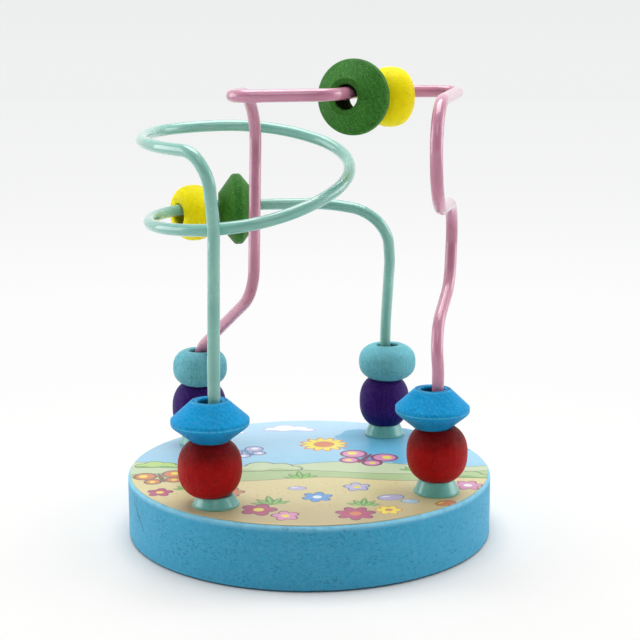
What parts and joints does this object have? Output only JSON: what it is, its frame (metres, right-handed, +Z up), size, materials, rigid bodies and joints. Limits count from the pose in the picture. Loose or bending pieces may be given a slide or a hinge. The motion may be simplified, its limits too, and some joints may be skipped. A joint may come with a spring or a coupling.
{
  "type": "bead maze toy",
  "caption": "Small bead maze: round painted wooden base with a printed top, two bent enamelled wires standing in plastic collars, and painted wooden beads that travel along the wires.",
  "frame": {"origin": "centre of the flat underside of the round base", "axes": "+Z up along the base's axis, -Y towards the side shown in front, +X to the right seen from that side"},
  "size_m": [0.095, 0.095, 0.1218],
  "materials": {
    "base_blue_paint": "water-based blue paint on fine wood, satin",
    "printed_sheet": "coated printed sheet, satin",
    "mint_plastic": "moulded mint plastic, satin",
    "mint_enamel": "glossy baked enamel on steel wire",
    "pink_enamel": "glossy baked enamel on steel wire",
    "red_bead_paint": "satin paint on turned wood",
    "blue_bead_paint": "satin paint on turned wood",
    "purple_bead_paint": "satin paint on turned wood",
    "teal_bead_paint": "satin paint on turned wood",
    "green_bead_paint": "satin paint on turned wood",
    "yellow_bead_paint": "satin paint on turned wood"
  },
  "bodies": {
    "frame": {"base_disc": "base_blue_paint", "top_print": "printed_sheet", "front_left_collar": "mint_plastic", "front_right_collar": "mint_plastic", "back_left_collar": "mint_plastic", "back_right_collar": "mint_plastic", "mint_wire": "mint_enamel", "pink_wire": "pink_enamel"},
    "front_left_red_bead": {"front_left_red_bead": "red_bead_paint"},
    "front_left_blue_bead": {"front_left_blue_bead": "blue_bead_paint"},
    "front_right_red_bead": {"front_right_red_bead": "red_bead_paint"},
    "front_right_blue_bead": {"front_right_blue_bead": "blue_bead_paint"},
    "back_right_purple_bead": {"back_right_purple_bead": "purple_bead_paint"},
    "back_right_teal_bead": {"back_right_teal_bead": "teal_bead_paint"},
    "back_left_purple_bead": {"back_left_purple_bead": "purple_bead_paint"},
    "back_left_teal_bead": {"back_left_teal_bead": "teal_bead_paint"},
    "loop_green_bead": {"loop_green_bead": "green_bead_paint"},
    "loop_yellow_bead": {"loop_yellow_bead": "yellow_bead_paint"},
    "top_green_bead": {"top_green_bead": "green_bead_paint"},
    "top_yellow_bead": {"top_yellow_bead": "yellow_bead_paint"}
  },
  "joints": [
    {"name": "front_left_red_slide", "type": "slide", "parent": "frame", "child": "front_left_red_bead", "axis": [0, 0, 1], "range_m": [0, 0.018]},
    {"name": "front_left_blue_slide", "type": "slide", "parent": "front_left_red_bead", "child": "front_left_blue_bead", "axis": [0, 0, 1], "range_m": [0, 0.012]},
    {"name": "front_right_red_slide", "type": "slide", "parent": "frame", "child": "front_right_red_bead", "axis": [0, 0, 1], "range_m": [0, 0.004]},
    {"name": "front_right_blue_slide", "type": "slide", "parent": "front_right_red_bead", "child": "front_right_blue_bead", "axis": [0, 0, 1], "range_m": [0, 0.005]},
    {"name": "back_right_purple_slide", "type": "slide", "parent": "frame", "child": "back_right_purple_bead", "axis": [0, 0, 1], "range_m": [0, 0.003]},
    {"name": "back_right_teal_slide", "type": "slide", "parent": "back_right_purple_bead", "child": "back_right_teal_bead", "axis": [0, 0, 1], "range_m": [0, 0.004]},
    {"name": "back_left_purple_spin", "type": "hinge", "parent": "frame", "child": "back_left_purple_bead", "pos_m": [-0.0308, 0.0229, 0.0265], "axis": [0, 0, 1], "continuous": true},
    {"name": "back_left_teal_travel", "type": "hinge", "parent": "frame", "child": "back_left_teal_bead", "pos_m": [-0.02569, 0.01438, 0.03714], "axis": [0.851, 0.5251, 0], "range_deg": [0, 45]},
    {"name": "loop_green_travel", "type": "hinge", "parent": "frame", "child": "loop_green_bead", "pos_m": [-0.01887, -0.00264, 0.08236], "axis": [-0.0187, -0.0572, 0.9982], "range_deg": [0, 27]},
    {"name": "loop_yellow_travel", "type": "hinge", "parent": "loop_green_bead", "child": "loop_yellow_bead", "pos_m": [-0.01887, -0.00264, 0.08236], "axis": [-0.0187, -0.0572, 0.9982], "range_deg": [0, 27]},
    {"name": "top_green_slide", "type": "slide", "parent": "frame", "child": "top_green_bead", "axis": [-0.4238, -0.9053, -0.0284], "range_m": [0, 0.005]},
    {"name": "top_yellow_slide", "type": "slide", "parent": "frame", "child": "top_yellow_bead", "axis": [0.9487, 0.3162, -0.0044], "range_m": [0, 0.008]}
  ]
}
